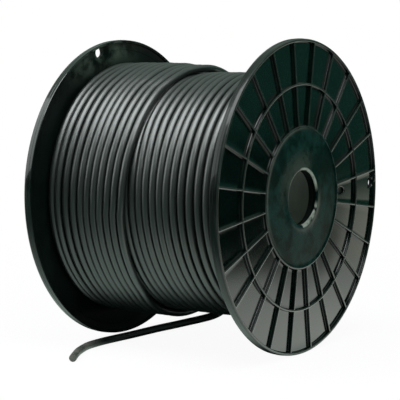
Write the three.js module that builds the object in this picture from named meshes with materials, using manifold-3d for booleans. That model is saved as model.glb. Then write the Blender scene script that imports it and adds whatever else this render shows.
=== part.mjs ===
// Moulded plastic cable drum, wound with a round black cable, lying on the rims of its two flanges.
// Millimetres, +Z up. The drum axis runs along X, the floor is z = 0.

import * as THREE from 'three';
import { mergeVertices } from 'three/addons/utils/BufferGeometryUtils.js';
import Module from 'manifold-3d';

// Flanges: one moulding each, a thin web stiffened on its outer side
const FLANGE_RADIUS = 150;
const RIM_SIDES = 48;
const AXIS_HEIGHT = FLANGE_RADIUS * Math.cos(Math.PI / RIM_SIDES);
const OUTER_FACE = 108.75;
const RIM_INNER_FACE = 100.65;
const WEB_INNER = 103.3;
const WEB_OUTER = 105.4;
const RIM_WALL_INNER = 146.6;
const RIB_COUNT = 24;
const RIB_THICKNESS = 1.8;
const RIB_TOP = 108.3;
const RIB_PHASE = 8.1;
const MID_RING_RADIUS = 107;
const MID_RING_TOP = 108.6;
const HUB_RADIUS = 68;
const HUB_UNDERSIDE = 105;
const BORE_RADIUS = 26;
const BORE_COLLAR_RADIUS = 29.5;
const BORE_COLLAR_END = 99.5;

// Cord holes: one near the rim of each flange, and the start slot beside the near hub
const RIM_HOLE_RADIUS = 4.7;
const RIM_HOLE_DISTANCE = 142.6;
const NEAR_RIM_HOLE_ANGLE = 88.3;
const FAR_RIM_HOLE_ANGLE = -16.5;
const START_SLOT_LENGTH = 13;
const START_SLOT_WIDTH = 7;
const START_SLOT_DISTANCE = 79.5;
const START_SLOT_ANGLE = 89.4;

// Barrel: the tube between the flanges
const BARREL_RADIUS = 66;
const BARREL_WALL = 3;
const GAP = 0.3;

// Cable and winding
const CABLE_RADIUS = 3.65;
const WINDING_SIDES = 36;
const WINDING_END = WEB_INNER - GAP;
const TURNS_END = 100.7;
const WINDING_BORE = BARREL_RADIUS + GAP;
const LOWER_CROWN = 118;
const LOWER_PITCH = 7.98;
const LOWER_TURNS = 15;
const UPPER_CROWN = 125.2;
const UPPER_PITCH = 8.36;
const UPPER_TURNS = 11;
const GROOVE_DEPTH = 2.4;

// Run of the last free turn: from inside the open end of the top layer, over the back of the drum and down
// to its underside, as angle from the top, station along X and radius
const LAST_TURN = [
  [10, -6, 119.5], [30, -5, 120.8], [50, -4, 120.8], [75, -3, 120.8], [100, -0.8, 120.8], [130, 2.4, 120.8],
  [150, 4.6, 120.9], [160, 5.4, 121.1], [166, 5.4, 121.6], [172, 4.97, 122.3],
];

// Run of the loose end from the underside of the winding to the floor and along it
const TAIL = [
  [4.97, 16.7, 28.4], [4.7, 12.6, 27.4], [2, 5, 25.4], [-5, -4.5, 23.1], [-14.4, -13.8, 20.6],
  [-25.1, -22.4, 17.7], [-36.4, -30.5, 14.8], [-47.6, -38.9, 11.6], [-58, -48.2, 8.6], [-67.1, -59.4, 6.2],
  [-73.8, -73.5, 4.5], [-74.9, -93.9, 3.8], [-70.7, -109.4, 3.8], [-62.6, -128.4, 3.8], [-49.7, -151, 3.8],
];

const wasm = await Module();
wasm.setup();

const radians = THREE.MathUtils.degToRad;

function toManifold(geometry) {
  const bare = new THREE.BufferGeometry();
  bare.setAttribute('position', geometry.getAttribute('position'));
  if (geometry.index) bare.setIndex(geometry.index);
  const merged = mergeVertices(bare, 1e-4);
  return new wasm.Manifold(new wasm.Mesh({
    numProp: 3,
    vertProperties: new Float32Array(merged.getAttribute('position').array),
    triVerts: new Uint32Array(merged.index.array),
  }));
}

function toGeometry(solid) {
  const mesh = solid.getMesh();
  const geometry = new THREE.BufferGeometry();
  geometry.setAttribute('position', new THREE.BufferAttribute(new Float32Array(mesh.vertProperties), 3));
  geometry.setIndex(new THREE.BufferAttribute(new Uint32Array(mesh.triVerts), 1));
  return geometry;
}

// A body turned about the X axis from [radius, x] points that close on themselves
function turned(profile, sides) {
  const points = profile.map(([radius, x]) => new THREE.Vector2(radius, x));
  points.push(points[0].clone());
  const geometry = new THREE.LatheGeometry(points, sides, Math.PI / sides, 2 * Math.PI);
  geometry.rotateZ(-Math.PI / 2);
  return geometry;
}

// A point at an angle from the top, turning towards +Y, seen from the +X end
function onDrum(angle, x, radius) {
  return new THREE.Vector3(x, radius * Math.sin(radians(angle)), radius * Math.cos(radians(angle)));
}

function cableAlong(points, sides, steps) {
  const section = new THREE.Shape();
  section.absarc(0, 0, CABLE_RADIUS, 0, 2 * Math.PI);
  return new THREE.ExtrudeGeometry(section, {
    extrudePath: new THREE.CatmullRomCurve3(points),
    steps,
    curveSegments: sides / 2,
    bevelEnabled: false,
  });
}

// ---- Flanges ----

// Section of the moulding: web, rim, hub disc dished towards the raised lip of the bore
const flangeProfile = [
  [62, WEB_INNER], [RIM_WALL_INNER, WEB_INNER], [RIM_WALL_INNER + 0.4, 101], [147.6, RIM_INNER_FACE],
  [149.2, RIM_INNER_FACE], [FLANGE_RADIUS, 101.6], [FLANGE_RADIUS, 107.2],
  [149.5, 108.3], [148.4, OUTER_FACE], [147, OUTER_FACE], [RIM_WALL_INNER, 108.3],
  [RIM_WALL_INNER - 0.4, WEB_OUTER], [HUB_RADIUS + 0.4, WEB_OUTER], [HUB_RADIUS, 107.7], [67.2, 108.4],
  [58, 107.9], [44, 107], [36, 107.5], [31.5, OUTER_FACE], [28.6, OUTER_FACE], [BORE_RADIUS, 107.3],
  [BORE_RADIUS, BORE_COLLAR_END], [BORE_COLLAR_RADIUS, BORE_COLLAR_END], [BORE_COLLAR_RADIUS, HUB_UNDERSIDE],
  [62, HUB_UNDERSIDE],
];

function rib(angle) {
  const length = RIM_WALL_INNER + 1 - (HUB_RADIUS - 1);
  const height = RIB_TOP - (WEB_OUTER - 1);
  const box = new THREE.BoxGeometry(height, RIB_THICKNESS, length);
  box.translate((RIB_TOP + WEB_OUTER - 1) / 2, 0, HUB_RADIUS - 1 + length / 2);
  box.rotateX(-radians(angle));
  return box;
}

// A hole through the web, which may be longer along the flange's radius than it is wide
function holeDrill(angle, distance, width, length) {
  const drill = new THREE.CylinderGeometry(width / 2, width / 2, 20, 16);
  drill.rotateZ(Math.PI / 2);
  drill.scale(1, 1, length / width);
  drill.translate(OUTER_FACE, 0, distance);
  drill.rotateX(-radians(angle));
  return drill;
}

function flangeSolid(drills) {
  const midRing = [
    [MID_RING_RADIUS - 1.1, WEB_OUTER - 1], [MID_RING_RADIUS + 1.1, WEB_OUTER - 1],
    [MID_RING_RADIUS + 0.8, MID_RING_TOP], [MID_RING_RADIUS - 0.8, MID_RING_TOP],
  ];
  let solid = toManifold(turned(flangeProfile, RIM_SIDES)).add(toManifold(turned(midRing, RIM_SIDES)));
  for (let i = 0; i < RIB_COUNT; i++) {
    solid = solid.add(toManifold(rib(RIB_PHASE + i * 360 / RIB_COUNT)));
  }
  for (const drill of drills) {
    solid = solid.subtract(toManifold(drill));
  }
  return solid;
}

const nearSolid = flangeSolid([
  holeDrill(NEAR_RIM_HOLE_ANGLE, RIM_HOLE_DISTANCE, 2 * RIM_HOLE_RADIUS, 2 * RIM_HOLE_RADIUS),
  holeDrill(START_SLOT_ANGLE, START_SLOT_DISTANCE, START_SLOT_WIDTH, START_SLOT_LENGTH),
]);
const farSolid = flangeSolid([
  holeDrill(-FAR_RIM_HOLE_ANGLE, RIM_HOLE_DISTANCE, 2 * RIM_HOLE_RADIUS, 2 * RIM_HOLE_RADIUS),
]);

const nearGeometry = toGeometry(nearSolid);
const farGeometry = toGeometry(farSolid);

// ---- Barrel ----

const barrelEnd = WEB_INNER - GAP;
const barrelGeometry = turned([
  [BARREL_RADIUS - BARREL_WALL, -barrelEnd], [BARREL_RADIUS, -barrelEnd],
  [BARREL_RADIUS, barrelEnd], [BARREL_RADIUS - BARREL_WALL, barrelEnd],
], WINDING_SIDES);

// ---- Winding ----

// One turn of cable in section: a groove, then two shoulders of its crown
function turnSection(start, pitch, crown) {
  return [
    [crown - GROOVE_DEPTH, start], [crown - 0.3, start + pitch * 0.28], [crown - 0.3, start + pitch * 0.72],
  ];
}

const lowerStart = TURNS_END - LOWER_TURNS * LOWER_PITCH;
const lowerProfile = [
  [WINDING_BORE, -WINDING_END], [LOWER_CROWN - 7, -WINDING_END], [LOWER_CROWN - 7, -TURNS_END],
  [LOWER_CROWN - 3, -TURNS_END],
];
for (let i = 0; i < LOWER_TURNS; i++) {
  lowerProfile.push(...turnSection(lowerStart + i * LOWER_PITCH, LOWER_PITCH, LOWER_CROWN));
}
lowerProfile.push(
  [LOWER_CROWN - GROOVE_DEPTH, TURNS_END], [LOWER_CROWN - 7, TURNS_END], [LOWER_CROWN - 7, WINDING_END],
  [WINDING_BORE, WINDING_END],
);

// The part-filled top layer: its turns lean over, most at the open end
const upperProfile = [[LOWER_CROWN - 6, -TURNS_END]];
for (let i = 0; i < UPPER_TURNS; i++) {
  upperProfile.push(...turnSection(-TURNS_END + i * UPPER_PITCH, UPPER_PITCH, UPPER_CROWN));
}
const upperEnd = -TURNS_END + UPPER_TURNS * UPPER_PITCH;
upperProfile.push([UPPER_CROWN - GROOVE_DEPTH - 0.6, upperEnd], [LOWER_CROWN - 6, upperEnd]);

function leanOpenEnd(geometry) {
  const position = geometry.getAttribute('position');
  for (let i = 0; i < position.count; i++) {
    const angle = Math.atan2(position.getY(i), position.getZ(i));
    const x = position.getX(i);
    const reach = THREE.MathUtils.clamp((x + TURNS_END) / (upperEnd + TURNS_END), 0, 1);
    const lean = -0.5 + 10 * Math.cos(angle) + 2.5 * Math.sin(angle);
    position.setX(i, x + lean * reach * reach);
  }
  return geometry;
}

const lowerSolid = toManifold(turned(lowerProfile, WINDING_SIDES));
const upperSolid = toManifold(leanOpenEnd(turned(upperProfile, WINDING_SIDES)));
const lastTurn = cableAlong(LAST_TURN.map(([angle, x, radius]) => onDrum(angle, x, radius)), 8, 20);
const windingGeometry = toGeometry(lowerSolid.add(upperSolid).add(toManifold(lastTurn)));

// ---- Loose end of the cable ----

const tailGeometry = cableAlong(TAIL.map((point) => new THREE.Vector3(...point)), 10, 22);

// ---- Assembly ----

const blackPlastic = { color: 0x14201b, roughness: 0.35, metalness: 0 };
const cableJacket = { color: 0x23292b, roughness: 0.6, metalness: 0 };

function piece(name, geometry, look) {
  geometry.computeVertexNormals();
  const mesh = new THREE.Mesh(geometry, new THREE.MeshStandardMaterial(look));
  mesh.name = name;
  return mesh;
}

const nearFlange = piece('flange_near', nearGeometry, blackPlastic);
const farFlange = piece('flange_far', farGeometry, blackPlastic);
farFlange.rotation.z = Math.PI;

const drum = new THREE.Group();
drum.position.z = AXIS_HEIGHT;
drum.add(nearFlange, farFlange);
drum.add(piece('barrel', barrelGeometry, blackPlastic));
drum.add(piece('winding', windingGeometry, cableJacket));

const group = new THREE.Group();
group.name = 'cable_drum';
group.add(drum, piece('cable_tail', tailGeometry, cableJacket));

export default group;
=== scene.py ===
# Moulded plastic cable drum with its cable, lying on the rims of its two flanges.
# Metres, +Z up. The drum axis runs along X, the near flange is at +X, the floor is z = 0.

import math

import bmesh
import bpy
from mathutils import Matrix, Vector


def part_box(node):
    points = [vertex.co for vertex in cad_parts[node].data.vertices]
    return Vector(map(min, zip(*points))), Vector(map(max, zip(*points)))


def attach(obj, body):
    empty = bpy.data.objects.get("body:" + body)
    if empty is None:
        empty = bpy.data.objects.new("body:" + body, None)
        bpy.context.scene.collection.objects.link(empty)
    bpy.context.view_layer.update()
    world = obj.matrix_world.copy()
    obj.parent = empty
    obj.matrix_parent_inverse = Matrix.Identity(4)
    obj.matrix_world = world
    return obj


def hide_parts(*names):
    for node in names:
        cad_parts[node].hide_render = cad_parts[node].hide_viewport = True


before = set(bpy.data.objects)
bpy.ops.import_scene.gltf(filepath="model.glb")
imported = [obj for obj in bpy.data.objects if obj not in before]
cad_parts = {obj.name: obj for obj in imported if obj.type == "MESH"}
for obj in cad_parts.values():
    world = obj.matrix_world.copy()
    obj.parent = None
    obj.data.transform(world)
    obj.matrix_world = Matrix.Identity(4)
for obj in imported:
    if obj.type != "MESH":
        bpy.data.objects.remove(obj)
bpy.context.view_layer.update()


# ---- Barrel ----
# The hollow tube that joins the two flanges, an extruded length of dull grey reground plastic.
# It is pressed between the hub discs, and only its inside shows, through the spindle bore.

BARREL_RADIUS = 0.066
BARREL_INSIDE = 0.063
BARREL_END = 0.103
BARREL_GREY = (0.56, 0.63, 0.55, 1)
BARREL_SMUDGE = (0.46, 0.51, 0.45, 1)

flange_low, flange_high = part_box("flange_near")
AXIS_HEIGHT = (flange_low.z + flange_high.z) / 2


class Wire:
    """A socket of a material's nodes. Sums written with it add their Math nodes."""

    def __init__(self, tree, socket=None):
        self.tree = tree
        self.socket = socket

    def node(self, kind, settings=None, sockets=None, out=0):
        """Adds one node: its settings first, then its sockets, and gives the output asked for."""
        node = self.tree.nodes.new(kind)
        for name, value in (settings or {}).items():
            setattr(node, name, value)
        for name, value in (sockets or {}).items():
            if isinstance(value, Wire):
                self.tree.links.new(value.socket, node.inputs[name])
            else:
                node.inputs[name].default_value = value
        return Wire(self.tree, node.outputs[out] if len(node.outputs) else None)

    def maths(self, operation, *values):
        return self.node("ShaderNodeMath", {"operation": operation}, dict(enumerate(values)))

    def __add__(self, other):
        return self.maths("ADD", self, other)

    def __sub__(self, other):
        return self.maths("SUBTRACT", self, other)

    def __rsub__(self, other):
        return self.maths("SUBTRACT", other, self)

    def __mul__(self, other):
        return self.maths("MULTIPLY", self, other)

    def __pow__(self, other):
        return self.maths("POWER", self, other)

    __radd__ = __add__
    __rmul__ = __mul__

    def between(self, low, high):
        """0 at low, 1 at high, eased in between."""
        return self.node("ShaderNodeMapRange", {"interpolation_type": "SMOOTHSTEP"},
                         {"Value": self, "From Min": low, "From Max": high})

    def part(self, axis):
        """The X, Y or Z of a place or a direction."""
        return self.node("ShaderNodeSeparateXYZ", None, {"Vector": self}, out=axis)

    def noise(self, place, scale, detail=3.0, roughness=0.55):
        return self.node("ShaderNodeTexNoise", None,
                         {"Vector": place, "Scale": scale, "Detail": detail, "Roughness": roughness})

    def tint(self, share, first, second):
        """A colour that goes from the first to the second as share goes from 0 to 1."""
        return self.node("ShaderNodeMix", {"data_type": "RGBA"}, {0: share, 6: first, 7: second}, out=2)


def new_finish(name):
    """An empty material, as a Wire to add nodes with, and its places on the drum in metres."""
    material = bpy.data.materials.new(name)
    material.use_nodes = True
    material.node_tree.nodes.clear()
    wire = Wire(material.node_tree)
    return material, wire, wire.node("ShaderNodeTexCoord", out="Object")


def close_finish(wire, colour, roughness, height, depth, **plain):
    """Ends a material in one shader with a bumped surface."""
    bump = wire.node("ShaderNodeBump", None, {"Strength": 1.0, "Distance": depth, "Height": height})
    sockets = {"Base Color": colour, "Roughness": roughness, "Normal": bump}
    sockets.update({name.replace("_", " "): value for name, value in plain.items()})
    shader = wire.node("ShaderNodeBsdfPrincipled", None, sockets)
    wire.node("ShaderNodeOutputMaterial", None, {"Surface": shader})


def round_from_axis(wire, place):
    """Distance from the drum axis and turn about it, as two Wires, with the station along X."""
    x = place.part("X")
    y = place.part("Y")
    z = place.part("Z") - AXIS_HEIGHT
    return x, (y * y + z * z) ** 0.5, wire.maths("ARCTAN2", y, z)


def put_together(name, points, faces, material, sharp=35):
    """A closed mesh object, smooth but for the edges sharper than the angle given."""
    mesh = bpy.data.meshes.new(name)
    mesh.from_pydata(points, [], faces)
    shape = bmesh.new()
    shape.from_mesh(mesh)
    bmesh.ops.recalc_face_normals(shape, faces=shape.faces)
    for face in shape.faces:
        face.smooth = True
    for edge in shape.edges:
        if edge.is_manifold and edge.calc_face_angle() > math.radians(sharp):
            edge.smooth = False
    shape.to_mesh(mesh)
    shape.free()
    mesh.materials.append(material)
    piece = bpy.data.objects.new(name, mesh)
    bpy.context.scene.collection.objects.link(piece)
    return piece


def on_drum(angle, x, radius):
    """A point at an angle in degrees from the top, turning towards +Y, seen from the +X end."""
    turn = math.radians(angle)
    return Vector((x, radius * math.sin(turn), AXIS_HEIGHT + radius * math.cos(turn)))


def faces_between(rows, columns, closed):
    """Faces between neighbouring rows of points, and from the last row to the first where it closes."""
    faces = []
    for row in range(rows if closed else rows - 1):
        after = (row + 1) % rows
        for column in range(columns):
            beside = (column + 1) % columns
            faces.append((row * columns + column, row * columns + beside,
                          after * columns + beside, after * columns + column))
    return faces


def turned_about_axis(name, profile, material, sides=96):
    """A body turned about the drum axis from (radius, x) points that close on themselves."""
    points = [on_drum(360 * column / sides, x, radius) for radius, x in profile for column in range(sides)]
    return put_together(name, points, faces_between(len(profile), sides, True), material)


def reground_plastic():
    material, wire, place = new_finish("reground_plastic")
    smudge = wire.noise(place, 38, 4)
    grain = wire.noise(place, 900, 2)
    colour = wire.tint(smudge.between(0.35, 0.75), BARREL_GREY, BARREL_SMUDGE)
    close_finish(wire, colour, 0.5 + 0.25 * smudge, grain, 0.00012)
    return material


barrel = turned_about_axis("barrel_tube", [
    (BARREL_INSIDE, -BARREL_END), (BARREL_INSIDE, -0.05), (BARREL_INSIDE, 0.05), (BARREL_INSIDE, BARREL_END),
    (BARREL_RADIUS, BARREL_END), (BARREL_RADIUS, 0.0), (BARREL_RADIUS, -BARREL_END),
], reground_plastic())
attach(barrel, "root")
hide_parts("barrel")


# ---- Flanges ----
# Two injection mouldings in black plastic with a green cast: a thin web with a rounded rim, 24 ribs
# and a ring on its outer side, and a hub disc that rises to the lip of the spindle bore, partly worn
# and partly painted with a highlight.

WEB_INNER = 103.3
WEB_OUTER = 105.4
RIB_COUNT = 24
RIB_PHASE = 8.1
PANEL_COLUMNS = 5
RIB_INNER_END = 68.1
RIB_OUTER_END = 146.66
# Outside this radius the mesh columns beside a rib run along it, and inside it towards the axis
FAN_RADIUS = 66

# Section of the moulding as [radius, x] in millimetres, from its smooth inner side round the rim,
# whose tread carries the fine line where the two halves of the mould met
INNER_SIDE = [
    (62, WEB_INNER), (75, WEB_INNER), (95, WEB_INNER), (115, WEB_INNER), (135, WEB_INNER), (139.7, WEB_INNER),
    (140.1, WEB_INNER - 0.3), (145.9, WEB_INNER - 0.3), (146.4, WEB_INNER - 0.5),
]
RIM = [
    (146.6, 102.2), (146.7, 101.3), (146.95, 100.85), (147.4, 100.65), (148.8, 100.66), (149.2, 100.76),
    (149.4, 101.0), (149.45, 101.4), (149.45, 103.85), (149.64, 104.0), (149.64, 104.3), (149.45, 104.45),
    (149.45, 106.7), (149.38, 107.4), (149.15, 108.05), (148.75, 108.5), (148.2, 108.7), (147.6, 108.75),
    (147.1, 108.68), (146.78, 108.44), (RIB_OUTER_END, 108), (146.63, 107.5), (146.57, WEB_OUTER + 0.9),
    (146.46, WEB_OUTER + 0.42), (146.2, WEB_OUTER + 0.12), (145.8, WEB_OUTER), (144.8, WEB_OUTER),
]
OUTER_PANELS = [(radius, WEB_OUTER) for radius in (142, 136, 129, 122, 115, 110.5)]
RING = [
    (108.8, WEB_OUTER), (108.35, WEB_OUTER + 0.08), (108.1, WEB_OUTER + 0.35), (108.03, WEB_OUTER + 0.8),
    (107.99, 107.9), (107.9, 108.28), (107.6, 108.52), (107, 108.6), (106.4, 108.52), (106.1, 108.28),
    (106.01, 107.9), (105.97, WEB_OUTER + 0.8), (105.9, WEB_OUTER + 0.35), (105.65, WEB_OUTER + 0.08),
    (105.2, WEB_OUTER),
]
INNER_PANELS = [(radius, WEB_OUTER) for radius in (102, 95, 88, 81, 75, 71.5)]
HUB = [
    (69.4, WEB_OUTER), (68.85, WEB_OUTER + 0.1), (68.45, WEB_OUTER + 0.45), (68.3, WEB_OUTER + 0.9),
    (68.1, 107.3), (67.95, 107.9), (67.6, 108.25),
    (67.1, 108.4), (66.2, 108.38), (65.5, 108.22), (65, 108.1), (62, 108.04), (56, 107.97), (50, 107.92),
    (44, 107.88), (39, 107.86), (35.5, 107.86), (33, 107.93), (31.2, 108.1), (29.8, 108.32), (28.6, 108.42),
    (27.4, 108.32), (26.4, 107.9), (26, 107.1), (26, 103), (26, 99.5), (29.5, 99.5), (29.5, 105), (62, 105),
]
# Section across half a rib, as [offset, x], from its foot to the middle of its crest
HALF_RIB = [
    (1.4, WEB_OUTER), (1.18, WEB_OUTER + 0.04), (1.06, WEB_OUTER + 0.16), (1.02, WEB_OUTER + 0.35),
    (1.01, WEB_OUTER + 0.7), (0.98, 107.8), (0.965, 108.02), (0.9, 108.22), (0.74, 108.33), (0, 108.35),
]

# Where one finish of the plastic ends and the next is full, in metres from the axis
HUB_EDGE = (0.0672, 0.0664)
TREAD_EDGE = (0.1484, 0.1490)
LIP_EDGE = (0.0292, 0.0276)
BORE_SHADE_EDGE = (0.0268, 0.0262)

PLASTIC_DEEP = (0.0004, 0.0026, 0.0018, 1)
PLASTIC_BLACK = (0.0015, 0.0060, 0.0046, 1)
PLASTIC_HUB = (0.0002, 0.0075, 0.0055, 1)
PLASTIC_HUB_MOTTLE = (0.0045, 0.0250, 0.0205, 1)
PLASTIC_DUST = (0.034, 0.046, 0.037, 1)
PLASTIC_DUST_AND_SHEEN = (0.068, 0.098, 0.074, 1)
PLASTIC_SCUFF_AND_GLINT = (0.060, 0.072, 0.064, 1)
PLASTIC_RAW_AND_HIGHLIGHT = (0.26, 0.30, 0.25, 1)


def black_plastic():
    material, wire, place = new_finish("black_plastic")
    x, radius, turn = round_from_axis(wire, place)
    face = wire.maths("ABSOLUTE", x)
    cloud = wire.noise(place, 26, 4, 0.6)
    patch = wire.noise(place, 85, 3, 0.6)
    speck = wire.noise(place, 420, 4, 0.7)
    turned = wire.node("ShaderNodeCombineXYZ", None, {"X": radius, "Y": turn * 0.006, "Z": x})
    ring_lines = wire.noise(turned, 900, 3, 0.6)

    # The hub disc is dull, as it came from a sparked mould, and the panels round it are polished
    outside = face.between(0.1040, 0.1046)
    hub = radius.between(*HUB_EDGE) * outside
    # The steep sides of the ribs and the ring are duller than the panels, and their crests are rubbed and
    # painted lighter: partly wear, partly a painted glint of the light
    flank = face.between(0.1056, 0.1059) * face.between(0.1081, 0.1079) * radius.between(0.0672, 0.0676)
    flank = flank * radius.between(0.1472, 0.1469)
    crest = face.between(0.1074, 0.1082) * radius.between(0.0660, 0.0665)
    crest = crest * (0.5 + 0.5 * patch.between(0.35, 0.6))
    tread = radius.between(*TREAD_EDGE)
    inside = (1 - outside) * (1 - tread)
    # The lip of the bore is lighter on its +Y side, above and below: partly worn through to raw plastic,
    # where the spindle bears, partly a painted highlight
    lip = radius.between(*LIP_EDGE) * (face + 0.0020 * turn.between(1.9, 2.8)).between(0.1066, 0.1072)
    above = turn.between(-0.35, 0.05) * turn.between(1.45, 1.05)
    below = turn.between(1.70, 2.05)
    lip_wear_and_highlight = lip * wire.maths("MAXIMUM", above, below) * patch.between(0.34, 0.52)
    # Lighter crests and fine lighter lines round the tread: partly rubbed wear, partly painted glints of the
    # light
    scuff_and_glint = wire.maths("MAXIMUM", crest * 0.35, tread * ring_lines.between(0.50, 0.70) * 0.25)

    colour = wire.tint(cloud.between(0.3, 0.7), PLASTIC_DEEP, PLASTIC_BLACK)
    mottled = wire.tint((0.4 * patch + 0.6 * cloud).between(0.42, 0.58), PLASTIC_HUB, PLASTIC_HUB_MOTTLE)
    dusty = radius.between(0.050, 0.030) * turn.between(-2.1, -0.9) * turn.between(0.7, 0.1)
    mottled = wire.tint(dusty * patch.between(0.20, 0.55), mottled, PLASTIC_DUST)
    colour = wire.tint(hub, colour, mottled)
    # The wall of the bore is painted deep black: painted shade for the shadow inside the bore
    colour = wire.tint(radius.between(*BORE_SHADE_EDGE), colour, PLASTIC_DEEP)
    # A lighter mottled film on the inner side of the rims near the top, towards -Y: partly dust, where
    # nothing rubs it off, partly a painted sheen where the light falls
    dust_and_sheen = inside * radius.between(0.120, 0.138) * turn.between(-0.80, -0.30) * turn.between(0.30, -0.20)
    colour = wire.tint(dust_and_sheen * (0.5 * patch + 0.5 * cloud).between(0.36, 0.58), colour, PLASTIC_DUST_AND_SHEEN)
    colour = wire.tint(scuff_and_glint * (0.6 + 0.4 * speck), colour, PLASTIC_SCUFF_AND_GLINT)
    colour = wire.tint(lip_wear_and_highlight, colour, PLASTIC_RAW_AND_HIGHLIGHT)
    roughness = 0.10 + 0.03 * cloud + 0.08 * hub + 0.17 * tread + 0.15 * crest + 0.3 * lip_wear_and_highlight + 0.35 * inside
    height = 0.4 * patch + speck * 0.12 * hub + 0.5 * tread * ring_lines
    # The near tread is duller from rolling, and the inner panels from hands, most of all low on one side
    rolled = tread * x.between(-0.05, 0.05) * turn.between(-2.05, -1.75)
    most_handled = turn.between(1.93, 2.13) * turn.between(2.78, 2.58)
    handled = radius.between(0.100, 0.079) * (0.30 + 0.38 * most_handled)
    polish = (1 - inside) * (1 - hub) * (1 - lip_wear_and_highlight) * (1 - flank) * (1 - 0.6 * rolled) * (1 - handled)
    close_finish(wire, colour, roughness, height, 0.00003, IOR=1.3, Coat_Weight=polish, Coat_Roughness=0.08,
                 Coat_IOR=1.5)
    return material


def flange_columns(radius):
    """Angles and rib heights of the columns of the mesh at one radius, in radians and millimetres."""
    spread = max(radius, FAN_RADIUS)
    foot = math.asin(HALF_RIB[0][0] / spread)
    across = [(-offset, x) for offset, x in HALF_RIB] + [(offset, x) for offset, x in HALF_RIB[-2::-1]]
    columns = []
    for number in range(RIB_COUNT):
        middle = math.radians(RIB_PHASE + 360 * number / RIB_COUNT)
        for offset, x in across:
            columns.append((middle + math.asin(offset / spread), x))
        for panel in range(1, PANEL_COLUMNS + 1):
            span = 2 * math.pi / RIB_COUNT - 2 * foot
            columns.append((middle + foot + span * panel / (PANEL_COLUMNS + 1), None))
    return columns


def moulded_flange(name, holes, material):
    """One flange at +X: rows round the section, columns round the axis, then its holes cut out."""
    ribbed = len(INNER_SIDE) + RIM.index((RIB_OUTER_END, 108))
    rows = INNER_SIDE + RIM + OUTER_PANELS + RING + INNER_PANELS + HUB
    points = []
    for number, (radius, base) in enumerate(rows):
        has_ribs = number >= ribbed and radius >= RIB_INNER_END
        for angle, rib in flange_columns(radius):
            x = max(base, rib) if has_ribs and rib is not None else base
            points.append(on_drum(math.degrees(angle), x / 1000, radius / 1000))
    faces = faces_between(len(rows), len(points) // len(rows), True)
    flange = put_together(name, points, faces, material)
    for drill_points, drill_faces in holes:
        drill = put_together("drill", drill_points, drill_faces, material)
        cut = flange.modifiers.new("hole", "BOOLEAN")
        cut.operation = "DIFFERENCE"
        cut.solver = "EXACT"
        cut.object = drill
        bpy.context.view_layer.update()
        done = bpy.data.meshes.new_from_object(flange.evaluated_get(bpy.context.evaluated_depsgraph_get()))
        flange.modifiers.clear()
        flange.data = done
        bpy.data.objects.remove(drill)
    return flange


HOLE_SIDES = 40


def cord_hole(angle, distance, width, length, flare=0.0):
    """Points and faces of a hole through the web: width round the flange, length along its radius, and
    how much wider it opens on the inner side."""
    inner = WEB_INNER / 1000
    points = []
    for x, more in ((0.095, flare), (inner - 0.001, flare), (inner + 0.0013, 0), (0.112, 0)):
        for side in range(HOLE_SIDES):
            turn = 2 * math.pi * side / HOLE_SIDES
            along_radius = distance + (length / 2 + more) * math.cos(turn)
            aside = (width / 2 + more) * math.sin(turn)
            place = on_drum(angle, x, along_radius)
            place += Vector((0, math.cos(math.radians(angle)), -math.sin(math.radians(angle)))) * aside
            points.append(place)
    faces = faces_between(4, HOLE_SIDES, False)
    faces += [tuple(range(HOLE_SIDES)), tuple(range(3 * HOLE_SIDES, 4 * HOLE_SIDES))]
    return points, faces


flange_finish = black_plastic()
near_flange = moulded_flange("near_flange", [
    cord_hole(88.3, 0.1426, 0.0092, 0.0094, 0.0012), cord_hole(89.4, 0.0795, 0.007, 0.013),
], flange_finish)
far_flange = moulded_flange("far_flange", [cord_hole(16.5, 0.1424, 0.0095, 0.0092, 0.0006)], flange_finish)
far_flange.data.transform(Matrix.Rotation(math.pi, 4, "Z"))
for flange, node in ((near_flange, "flange_near"), (far_flange, "flange_far")):
    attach(flange, "root")
    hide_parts(node)


# ---- Inner layers of the winding ----
# The layers of cable under the two that show. They fill the drum from the barrel up, so they are
# one plain body in the same jacket.

WINDING_BORE = 0.0663
WINDING_END = 0.103
CORE_RADIUS = 0.111

JACKET_BLACK = (0.0015, 0.0055, 0.0045, 1)
JACKET_DULL = (0.0045, 0.0095, 0.0080, 1)
JACKET_DUST = (0.035, 0.043, 0.038, 1)
JACKET_RUBBED = (0.115, 0.118, 0.105, 1)


def black_jacket(name, index, tip=False):
    """Satin black cable jacket with fine streaks along the turns and a little dust. Its tip is rubbed."""
    material, wire, place = new_finish(name)
    x, radius, turn = round_from_axis(wire, place)
    drawn = wire.node("ShaderNodeCombineXYZ", None, {"X": x, "Y": turn * 0.012, "Z": radius})
    streak = wire.noise(drawn, 520, 4, 0.6)
    band = wire.noise(drawn, 95, 3, 0.5)
    cloud = wire.noise(place, 30, 4, 0.6)
    grain = wire.noise(place, 1300, 3)
    colour = wire.tint(band.between(0.3, 0.7), JACKET_BLACK, JACKET_DULL)
    colour = wire.tint(cloud.between(0.45, 0.85) * streak.between(0.4, 0.7) * 0.35, colour, JACKET_DUST)
    roughness = 0.28 + 0.08 * band + 0.10 * streak
    if tip:
        rubbed = place.part("Y").between(-0.070, -0.105) * (0.45 + 0.55 * cloud.between(0.3, 0.6))
        colour = wire.tint(rubbed, colour, JACKET_RUBBED)
        roughness = roughness + 0.1 * rubbed
    close_finish(wire, colour, roughness, 0.6 * streak + 0.4 * grain, 0.00004, IOR=index)
    return material


jacket = black_jacket("black_jacket", 2.0)
core = turned_about_axis("inner_layers", [
    (WINDING_BORE, -WINDING_END), (CORE_RADIUS, -WINDING_END), (CORE_RADIUS, -0.034), (CORE_RADIUS, 0.034),
    (CORE_RADIUS, WINDING_END), (WINDING_BORE, WINDING_END), (WINDING_BORE, 0.0),
], jacket)
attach(core, "root")
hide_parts("winding")


# ---- Full layer ----
# Round cable laid turn by turn from the near flange to the far one, drawn tight over the layers
# below. Each turn lies at its own station, as the hand that guided it let it.

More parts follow.
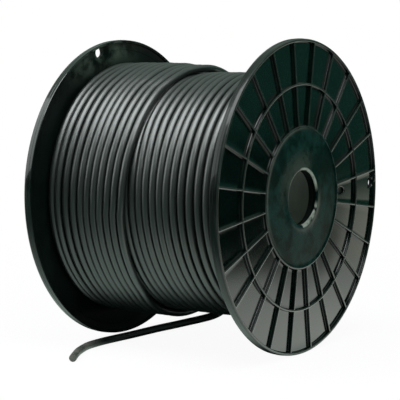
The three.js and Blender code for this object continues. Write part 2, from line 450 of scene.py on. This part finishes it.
CABLE_RADIUS = 0.00365
TURN_STEPS = 96
CABLE_SIDES = 14
# Turns are counted whole at this angle from the top, in degrees
FRONT = -100
# No turn lies farther from the middle of the drum than this, in millimetres
STATION_LIMIT = 96.95
# A layer starts half a turn before its first whole one, and climbs there from the layer below
FIRST_TURN = 0.5
CLIMBED_BY = 0.62
CLIMB_TURNS = 0.12
CLIMB_HEIGHT = 4.5
FULL_LAYER_RADIUS = 114.3
FULL_LAYER_STATIONS = [
    96.9, 96.9, 89.4, 82.0, 74.6, 66.0, 56.6, 47.2, 38.8, 30.8, 23.4, 16.0, 8.0, 0.2, -7.1, -15.0, -22.5,
    -29.9, -37.3, -44.8, -52.2, -59.7, -67.1, -74.6, -82.0, -89.5, -96.9, -96.9,
]
# How far the turns beside the next layer's open end are drawn after it, by their station in
# millimetres, and which share of that by the angle from the top
DRAWN_BY = [(-96.9, 0), (-24, -4), (-7, -4.5), (0, -3.1), (8, -3.1), (16, -2), (23.4, -0.8), (31, 0)]
DRAWN_OVER = [
    (-180, 0), (-90, 0), (-75, 0.2), (-66, 0.45), (-58, 0.75), (-50, 1), (10, 0.9), (90, 0), (180, 0),
]
# How much deeper the turns lie there that the next layer presses down, by the same station
PRESSED_BY = [(-8, 3.4), (-4, 0)]


def between_stations(stations, turns):
    """The station along X after a number of turns, in millimetres."""
    first = min(max(int(math.floor(turns)), 0), len(stations) - 2)
    share = min(max(turns - first, 0), 1)
    return stations[first] + (stations[first + 1] - stations[first]) * share


def along(pairs, angle):
    """The value at an angle, eased between given pairs of angle and value."""
    if angle <= pairs[0][0]:
        return pairs[0][1]
    for (low, first), (high, second) in zip(pairs, pairs[1:]):
        if angle <= high:
            share = (angle - low) / (high - low)
            share = share * share * (3 - 2 * share)
            return first + (second - first) * share
    return pairs[-1][1]


def climb(turns):
    """How far the cable still lies under its layer at the start of the layer, in millimetres."""
    return CLIMB_HEIGHT * max(0, CLIMBED_BY - turns) / CLIMB_TURNS


def sway(turns, angle, seed):
    """Small slow wander of a hand-laid turn, from -1 to 1."""
    turn = math.radians(angle)
    return (math.sin(turn + 2.1 * turns + seed) + 0.6 * math.sin(2 * turn - 1.3 * turns + 2 * seed)
            + 0.4 * math.sin(5 * turn + 3.7 * turns + 5 * seed)) / 2


def laid_cable(name, centres, material):
    """A round cable along points that go round the drum, closed at both ends."""
    points = []
    for number, centre in enumerate(centres):
        ahead = centres[min(number + 1, len(centres) - 1)] - centres[max(number - 1, 0)]
        ahead.normalize()
        outward = Vector((0, centre.y, centre.z - AXIS_HEIGHT))
        outward = (outward - ahead * outward.dot(ahead)).normalized()
        across = ahead.cross(outward)
        for side in range(CABLE_SIDES):
            turn = 2 * math.pi * (side + 0.5) / CABLE_SIDES
            points.append(centre + CABLE_RADIUS * (outward * math.cos(turn) + across * math.sin(turn)))
    faces = faces_between(len(centres), CABLE_SIDES, False)
    faces.append(tuple(range(CABLE_SIDES)))
    faces.append(tuple(range(len(points) - CABLE_SIDES, len(points))))
    return put_together(name, points, faces, material, 60)


full_layer_run = []
for step in range((len(FULL_LAYER_STATIONS) - 2) * TURN_STEPS + TURN_STEPS // 2 + 1):
    turns = step / TURN_STEPS + FIRST_TURN
    angle = FRONT + 360 * (turns - 1)
    station = between_stations(FULL_LAYER_STATIONS, turns)
    share = along(DRAWN_OVER, (angle + 180) % 360 - 180)
    pressed = share * along(PRESSED_BY, station)
    station += share * along(DRAWN_BY, station) + 0.25 * sway(turns, angle, 1)
    station = min(max(station, -STATION_LIMIT), STATION_LIMIT)
    radius = FULL_LAYER_RADIUS + 0.2 * sway(turns, angle, 4) - climb(turns) - pressed
    full_layer_run.append(on_drum(angle, station / 1000, radius / 1000))
full_layer = laid_cable("full_layer", full_layer_run, jacket)
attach(full_layer, "root")
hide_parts("winding")


# ---- Part-filled layer and last free turn ----
# The same cable wound back from the far flange, eleven turns on top of the full layer. The open
# end leans over the top of the drum, and the last turn runs slack down the back to the underside.

OPEN_LAYER_RADIUS = 121.5
OPEN_LAYER_STATIONS = [
    -97, -97, -89.6, -80.5, -71.3, -62.5, -54.9, -47.0, -39.4, -31.4, -23.3, -14.5, -6.5,
]
# How far the open end stands out from its station, in millimetres, by the angle from the top
LEAN = [
    (-180, -8.2), (-150, -7.5), (-137, -3.8), (-116, -3.0), (-99, -2.2), (-89, 0.2), (-75, 1), (-60, 2.2),
    (-33, 3), (-25, 5.5), (-14, 6.8), (0, 11), (20, 11), (60, 7), (90, 4), (120, 0), (150, -5), (180, -8.2),
]
# The turns from the first whole one to the open end, and where the turns stop riding up on the top
LEANING_TURNS = 10.2
RISE_ENDS = 9.2
# How much higher the turns cross the top of the drum than they lie elsewhere, by the same angle
RISE = [(-180, 0), (-75, 0), (-30, 1.2), (-5, 1.8), (20, 1.8), (60, 0.8), (110, 0), (180, 0)]
# The last turn from where it leaves the open end: angle, station and radius, all in millimetres
FREE_TURN = [
    (-14, -5.7, 121.5), (-7, -2.4, 121.5), (-2, -0.9, 121.4), (4, -1.2, 121.2), (10, -2.4, 121.1),
    (18, -3.3, 121.1), (30, -3.6, 121.3), (50, -3.8, 121.5), (75, -3, 121.5), (100, -0.8, 121.6),
    (130, 2.2, 121.7), (155, 4.3, 121.9), (172, 4.97, 122.3),
]


def curve_through(knots, steps):
    """Points on a smooth curve through the knots."""
    found = []
    for number in range(len(knots) - 1):
        before = knots[max(number - 1, 0)]
        first, second = knots[number], knots[number + 1]
        after = knots[min(number + 2, len(knots) - 1)]
        for step in range(steps):
            t = step / steps
            found.append([
                0.5 * (2 * b + (c - a) * t + (2 * a - 5 * b + 4 * c - d) * t * t
                       + (3 * b - a - 3 * c + d) * t ** 3)
                for a, b, c, d in zip(before, first, second, after)
            ])
    found.append(list(knots[-1]))
    return found


open_layer_run = []
turns = FIRST_TURN
while FRONT + 360 * (turns - 1) < 10 * 360 + FREE_TURN[0][0] - 2:
    angle = FRONT + 360 * (turns - 1)
    from_top = (angle + 180) % 360 - 180
    station = between_stations(OPEN_LAYER_STATIONS, turns)
    share = (max(turns - 1, 0) / LEANING_TURNS) ** 1.2
    station += along(LEAN, from_top) * share + 0.25 * sway(turns, angle, 2)
    radius = OPEN_LAYER_RADIUS + 0.3 * sway(turns, angle, 7) - climb(turns)
    radius += along(RISE, from_top) * min(max(RISE_ENDS - turns, 0), 1)
    open_layer_run.append(on_drum(angle, max(station, -STATION_LIMIT) / 1000, radius / 1000))
    turns += 1 / TURN_STEPS
for angle, station, radius in curve_through(FREE_TURN, 6):
    open_layer_run.append(on_drum(angle, station / 1000, radius / 1000))
open_layer = laid_cable("open_layer", open_layer_run, jacket)
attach(open_layer, "root")
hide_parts("winding")


# ---- Loose end ----
# The last 0.23 m of the same cable. It leaves the underside of the drum, sinks to the floor under
# its own weight, bends round on it and ends in a plain cut.

# Its middle line from the drum to the cut, as [x, y, z] in millimetres
LOOSE_END = [
    (4.97, 16.7, 28.4), (4.7, 12.6, 27.4), (2, 5, 25.4), (-5, -4.5, 23.1), (-14.4, -13.8, 20.6),
    (-25.1, -22.4, 17.7), (-36.4, -30.5, 14.8), (-47.6, -38.9, 11.6), (-58, -48.2, 8.6), (-67.1, -59.4, 6.2),
    (-73.8, -73.5, 4.5), (-74.9, -93.9, 3.8), (-70.7, -109.4, 3.8), (-62.6, -128.4, 3.8), (-49.7, -151, 3.8),
]

line = bpy.data.curves.new("loose_end", "CURVE")
line.dimensions = "3D"
line.bevel_depth = CABLE_RADIUS
line.bevel_resolution = 6
line.use_fill_caps = True
spline = line.splines.new("POLY")
run = curve_through([tuple(value / 1000 for value in point) for point in LOOSE_END], 9)
spline.points.add(len(run) - 1)
for point, place in zip(spline.points, run):
    point.co = (*place, 1)
spline.use_smooth = True
line.materials.append(black_jacket("rubbed_jacket", 1.4, tip=True))
loose_end = bpy.data.objects.new("loose_end", line)
bpy.context.scene.collection.objects.link(loose_end)
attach(loose_end, "root")
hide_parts("cable_tail")


# ---- Floor ----
# A plain white studio floor with a soft shadow under the drum. In the gloss of the drum it shows a
# painted reflection: a painted shadow under the drum, a painted lit sheet that ends beside the near
# flange, and past that edge the dim studio.

FLOOR_SIZE = 6.0
# The colours below show only in reflections, as a painted reflection: a painted shadow under the drum, a
# painted lit sheet round it, brightest past the rim, and the dim studio past the sheet's edge
UNDER_DRUM_PAINTED_SHADOW = (0.004, 0.010, 0.008, 1)
SHEET_AT_FRONT = (0.12, 0.18, 0.16, 1)
SHEET_ALONG_DRUM = (0.66, 0.84, 0.75, 1)
SHEET_PAST_RIM = (1.20, 1.27, 1.17, 1)
SHEET_FARTHER = (0.73, 0.78, 0.72, 1)
SHEET_OUTERMOST = (0.80, 0.83, 0.71, 1)
STUDIO_LEFT = (0.001, 0.006, 0.005, 1)
STUDIO_RIGHT = (0.018, 0.075, 0.054, 1)
STUDIO_FAR = (0.022, 0.085, 0.062, 1)


def white_floor():
    material, wire, place = new_finish("white_floor")
    x = place.part("X")
    y = place.part("Y")
    distance = (x * x + y * y) ** 0.5
    camera = wire.node("ShaderNodeLightPath", out="Is Camera Ray")
    glossy = wire.node("ShaderNodeLightPath", out="Is Glossy Ray")
    lit = wire.node("ShaderNodeBsdfDiffuse", None, {"Color": (0.86, 0.86, 0.86, 1)})
    white = wire.node("ShaderNodeEmission", None, {"Color": (1, 1, 1, 1), "Strength": 1.0})
    shadowed = 0.945 + 0.055 * distance.between(0.25, 1.0)
    shown = wire.node("ShaderNodeMixShader", None, {0: camera * shadowed, 1: lit, 2: white})
    # What mirrors is painted: a painted shadow, black under the drum, a painted lit sheet, white round it,
    # and the dim studio past the sheet's edge
    under = x.between(0.116, 0.104) * x.between(-0.20, -0.10)
    under = under * y.between(-0.098, -0.046) * y.between(1.5, 0.9)
    front = y.between(-0.42, -0.09) ** 1.4
    edge = ((y - 0.5) * (y - 0.5) + 0.0225) ** 0.5 * 0.54 + 0.30
    painted_lit_part = ((x - edge).between(0.20, -0.08) * y.between(2.1, 1.0)) ** 1.5
    far_off = distance.between(2.6, 5.0)
    right_hand = (0.829 * x - 0.558 * y).between(0.05, -0.16)
    painted_lit_sheet = wire.tint(x.between(0.10, 0.14), SHEET_ALONG_DRUM, SHEET_PAST_RIM)
    painted_lit_sheet = wire.tint(distance.between(0.12, 0.62), painted_lit_sheet, SHEET_FARTHER)
    painted_lit_sheet = wire.tint(distance.between(0.55, 0.85), painted_lit_sheet, SHEET_OUTERMOST)
    mirrored = wire.tint(front, SHEET_AT_FRONT, painted_lit_sheet)
    mirrored = wire.tint(under, mirrored, UNDER_DRUM_PAINTED_SHADOW)
    studio = wire.tint(right_hand, STUDIO_LEFT, STUDIO_RIGHT)
    studio = wire.tint(far_off, studio, STUDIO_FAR)
    mirrored = wire.tint(painted_lit_part, studio, mirrored)
    painted_reflection = wire.node("ShaderNodeEmission", None, {"Color": mirrored, "Strength": 1.0})
    shown = wire.node("ShaderNodeMixShader", None, {0: glossy, 1: shown, 2: painted_reflection})
    wire.node("ShaderNodeOutputMaterial", None, {"Surface": shown})
    return material


sheet_mesh = bpy.data.meshes.new("floor")
corners = [(FLOOR_SIZE * x, FLOOR_SIZE * y, 0) for x, y in ((-1, -1), (1, -1), (1, 1), (-1, 1))]
sheet_mesh.from_pydata(corners, [], [(0, 1, 2, 3)])
sheet_mesh.materials.append(white_floor())
floor = bpy.data.objects.new("floor", sheet_mesh)
bpy.context.scene.collection.objects.link(floor)


# ---- Studio light ----
# A wide soft box overhead, laid along the drum and a little to its front, a weak square one beyond the
# far flange, and a dim studio round them. What is seen behind the drum is plain white.

DRUM_CENTRE = Vector((0, 0, AXIS_HEIGHT))
STUDIO_DIM = (0.20, 0.22, 0.21, 1)
STUDIO_FRONT = (0.002, 0.004, 0.003, 1)
STUDIO_BACK = (0.026, 0.096, 0.072, 1)
STUDIO_OVERHEAD = (0.325, 0.405, 0.355, 1)


def soft_box(name, towards, distance, wide, high, watts, shade):
    """A rectangular lamp in one direction from the drum, with its wide side along the drum."""
    lamp = bpy.data.lights.new(name, "AREA")
    lamp.shape = "RECTANGLE"
    lamp.size, lamp.size_y = wide, high
    lamp.energy = watts
    lamp.color = shade
    box = bpy.data.objects.new(name, lamp)
    direction = Vector(towards).normalized()
    along_drum = (Vector((1, 0, 0)) - direction * direction.x).normalized()
    box.matrix_world = Matrix.Translation(DRUM_CENTRE + direction * distance) @ Matrix(
        (along_drum, direction.cross(along_drum), direction)).transposed().to_4x4()
    bpy.context.scene.collection.objects.link(box)


soft_box("overhead_box", towards=(0.18, -0.36, 0.90), distance=1.6, wide=2.4, high=1.0, watts=38,
         shade=(0.96, 0.99, 1))
soft_box("side_fill", towards=(-0.80, -0.55, 0.50), distance=1.8, wide=1.5, high=1.5, watts=12.5,
         shade=(0.94, 1, 0.98))

studio = bpy.data.worlds.new("studio")
bpy.context.scene.world = studio
studio.use_nodes = True
studio.node_tree.nodes.clear()
wire = Wire(studio.node_tree)
camera_ray = wire.node("ShaderNodeLightPath", out="Is Camera Ray")
glossy_ray = wire.node("ShaderNodeLightPath", out="Is Glossy Ray")
way = wire.node("ShaderNodeTexCoord", out="Generated")
height = way.part("Z")
towards_back = way.part("Y").between(-0.5, 0.3)
mirrored = wire.tint(towards_back, STUDIO_FRONT, STUDIO_BACK)
mirrored = wire.tint(height.between(0.14, 0.60), mirrored, STUDIO_OVERHEAD)
around = wire.tint(glossy_ray, STUDIO_DIM, mirrored)
around = wire.tint(camera_ray, around, (1, 1, 1, 1))
background = wire.node("ShaderNodeBackground", None, {"Color": around, "Strength": 1.0})
wire.node("ShaderNodeOutputWorld", None, {"Surface": background})


# ---- Camera ----
# A long lens, far off and a little above the drum, that looks at it past its near flange. Its place
# and its two axes are given outright, and the lens is for a 36 mm wide picture.

CAMERA_PLACE = Vector((0.78898, -1.18527, 0.28027))
CAMERA_BACK = Vector((0.55589, -0.82559, 0.09687))
CAMERA_RIGHT = Vector((0.82949, 0.55852, 0.0))

lens = bpy.data.cameras.new("camera")
lens.sensor_width = 36
lens.lens = 130.62
lens.clip_start, lens.clip_end = 0.05, 60
camera = bpy.data.objects.new("camera", lens)
camera_up = CAMERA_BACK.cross(CAMERA_RIGHT)
camera.matrix_world = Matrix.Translation(CAMERA_PLACE) @ Matrix(
    (CAMERA_RIGHT, camera_up, CAMERA_BACK)).transposed().to_4x4()
bpy.context.scene.collection.objects.link(camera)
bpy.context.scene.camera = camera
bpy.context.scene.view_settings.view_transform = "Standard"
